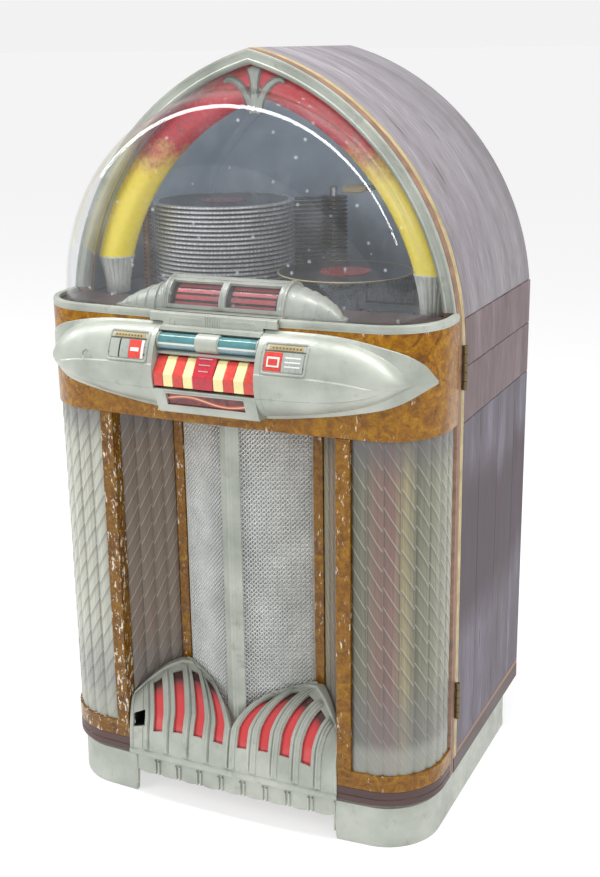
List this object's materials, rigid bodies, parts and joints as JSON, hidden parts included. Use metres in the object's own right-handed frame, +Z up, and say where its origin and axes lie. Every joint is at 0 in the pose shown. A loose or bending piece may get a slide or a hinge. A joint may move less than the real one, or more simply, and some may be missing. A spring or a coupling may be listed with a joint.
{
  "type": "jukebox",
  "caption": "Floor-standing jukebox with arched wooden cabinet, hinged front door, clear dome, selection keys and a swinging-tray record changer.",
  "frame": {"origin": "on the floor, under the middle of the overall box", "axes": "+Z up, front door towards -Y, +X to the right when facing the front"},
  "size_m": [0.799, 0.674, 1.4235],
  "materials": {
    "silver_casting": "worn satin paint on cast metal",
    "burl_veneer": "glossy burl veneer with chips",
    "side_wood": "faded stained plywood",
    "dark_wood": "dark stained wood",
    "cream_trim": "cream moulding with gold paint",
    "black_metal": "dark paint",
    "steel": "plated steel",
    "brass_fittings": "aged brass",
    "lit_plastic": "translucent coloured plastic",
    "clear_dome": "clear polished plastic",
    "ribbed_plastic": "translucent ribbed plastic",
    "woven_wire": "woven wire",
    "red_plastic": "polished red plastic",
    "cream_plastic": "polished cream plastic",
    "crimson_plastic": "polished dark red plastic",
    "black_vinyl": "grooved record"
  },
  "bodies": {
    "cabinet": {"base_casting": "silver_casting", "cabinet_floor": "dark_wood", "side_panel_left": "side_wood", "side_panel_right": "side_wood", "arch_top": "side_wood", "seam_trim": "cream_trim", "rear_cover_lower": "dark_wood", "rear_cover_upper": "dark_wood", "speaker_baffle": "dark_wood", "speaker": "black_metal", "amplifier_chassis": "steel", "mechanism_shelf": "dark_wood", "mechanism_plate": "black_metal", "record_magazine": "steel", "arch_tube": "lit_plastic", "tube_cup_left": "silver_casting", "tube_cup_right": "silver_casting", "arch_ornament": "silver_casting", "hinge_leaf_cabinet_upper": "brass_fittings", "hinge_leaf_cabinet_lower": "brass_fittings"},
    "front_door": {"door_back_frame": "dark_wood", "waistband": "burl_veneer", "dome_frame": "silver_casting", "dome_sill": "silver_casting", "dome": "clear_dome", "burl_frame_left": "burl_veneer", "burl_frame_right": "burl_veneer", "inner_stile_left": "burl_veneer", "inner_stile_right": "burl_veneer", "pilaster_outer_left": "ribbed_plastic", "pilaster_outer_right": "ribbed_plastic", "pilaster_inner_left": "ribbed_plastic", "pilaster_inner_right": "ribbed_plastic", "speaker_grille": "woven_wire", "centre_rib": "silver_casting", "shell_casting": "silver_casting", "shell_lens": "red_plastic", "selector_casting": "silver_casting", "title_housing": "silver_casting", "coin_mechanism": "steel", "hinge_leaf_door_upper": "brass_fittings", "hinge_leaf_door_lower": "brass_fittings"},
    "selection_key_1": {"selection_key_1": "red_plastic"},
    "selection_key_2": {"selection_key_2": "cream_plastic"},
    "selection_key_3": {"selection_key_3": "red_plastic"},
    "selection_key_4": {"selection_key_4": "cream_plastic"},
    "selection_key_5": {"selection_key_5": "cream_plastic"},
    "selection_key_6": {"selection_key_6": "red_plastic"},
    "selection_key_7": {"selection_key_7": "cream_plastic"},
    "selection_key_8": {"selection_key_8": "red_plastic"},
    "program_bar": {"program_bar": "crimson_plastic"},
    "coin_return_button": {"coin_return_button": "steel"},
    "title_drum": {"title_drum": "red_plastic"},
    "colour_cylinder_left": {"colour_cylinder_left": "lit_plastic"},
    "colour_cylinder_right": {"colour_cylinder_right": "lit_plastic"},
    "door_lock": {"door_lock": "brass_fittings"},
    "record_tray": {"record_tray": "steel"},
    "turntable_lift": {"turntable_lift": "steel"},
    "turntable_platter": {"turntable_platter": "black_vinyl"},
    "tonearm": {"tonearm": "cream_plastic"}
  },
  "joints": [
    {"name": "front_door_hinge", "type": "hinge", "parent": "cabinet", "child": "front_door", "pos_m": [0.395, -0.105, 0.7], "axis": [0, 0, 1], "range_deg": [0, 100]},
    {"name": "title_drum_spin", "type": "hinge", "parent": "front_door", "child": "title_drum", "pos_m": [0, -0.205, 0.985], "axis": [1, 0, 0], "continuous": true},
    {"name": "selection_key_1_press", "type": "slide", "parent": "front_door", "child": "selection_key_1", "axis": [0, 1, 0], "range_m": [0, 0.005], "stiffness_N_per_m": 250},
    {"name": "selection_key_2_press", "type": "slide", "parent": "front_door", "child": "selection_key_2", "axis": [0, 1, 0], "range_m": [0, 0.005], "stiffness_N_per_m": 250},
    {"name": "selection_key_3_press", "type": "slide", "parent": "front_door", "child": "selection_key_3", "axis": [0, 1, 0], "range_m": [0, 0.005], "stiffness_N_per_m": 250},
    {"name": "selection_key_4_press", "type": "slide", "parent": "front_door", "child": "selection_key_4", "axis": [0, 1, 0], "range_m": [0, 0.005], "stiffness_N_per_m": 250},
    {"name": "selection_key_5_press", "type": "slide", "parent": "front_door", "child": "selection_key_5", "axis": [0, 1, 0], "range_m": [0, 0.005], "stiffness_N_per_m": 250},
    {"name": "selection_key_6_press", "type": "slide", "parent": "front_door", "child": "selection_key_6", "axis": [0, 1, 0], "range_m": [0, 0.005], "stiffness_N_per_m": 250},
    {"name": "selection_key_7_press", "type": "slide", "parent": "front_door", "child": "selection_key_7", "axis": [0, 1, 0], "range_m": [0, 0.005], "stiffness_N_per_m": 250},
    {"name": "selection_key_8_press", "type": "slide", "parent": "front_door", "child": "selection_key_8", "axis": [0, 1, 0], "range_m": [0, 0.005], "stiffness_N_per_m": 250},
    {"name": "program_bar_press", "type": "slide", "parent": "front_door", "child": "program_bar", "axis": [0, 1, 0], "range_m": [0, 0.005], "stiffness_N_per_m": 250},
    {"name": "coin_return_press", "type": "slide", "parent": "front_door", "child": "coin_return_button", "axis": [0, 1, 0], "range_m": [0, 0.005], "stiffness_N_per_m": 200},
    {"name": "colour_cylinder_left_spin", "type": "hinge", "parent": "front_door", "child": "colour_cylinder_left", "pos_m": [-0.302, -0.183, 0.47], "axis": [0, 0, 1], "continuous": true},
    {"name": "colour_cylinder_right_spin", "type": "hinge", "parent": "front_door", "child": "colour_cylinder_right", "pos_m": [0.302, -0.183, 0.47], "axis": [0, 0, 1], "continuous": true},
    {"name": "door_lock_turn", "type": "hinge", "parent": "front_door", "child": "door_lock", "pos_m": [-0.395, -0.1165, 0.878], "axis": [1, 0, 0], "range_deg": [0, 90]},
    {"name": "record_tray_swing", "type": "hinge", "parent": "cabinet", "child": "record_tray", "pos_m": [0.021, 0.199, 1.13], "axis": [0, 0, -1], "range_deg": [-87.1, 0]},
    {"name": "turntable_rise", "type": "slide", "parent": "cabinet", "child": "turntable_lift", "axis": [0, 0, 1], "range_m": [0, 0.112]},
    {"name": "turntable_spin", "type": "hinge", "parent": "turntable_lift", "child": "turntable_platter", "pos_m": [0.125, 0.005, 1.012], "axis": [0, 0, 1], "continuous": true},
    {"name": "tonearm_swing", "type": "hinge", "parent": "cabinet", "child": "tonearm", "pos_m": [0.24, 0.123, 1.164], "axis": [0, 0, 1], "range_deg": [0, 22]}
  ]
}
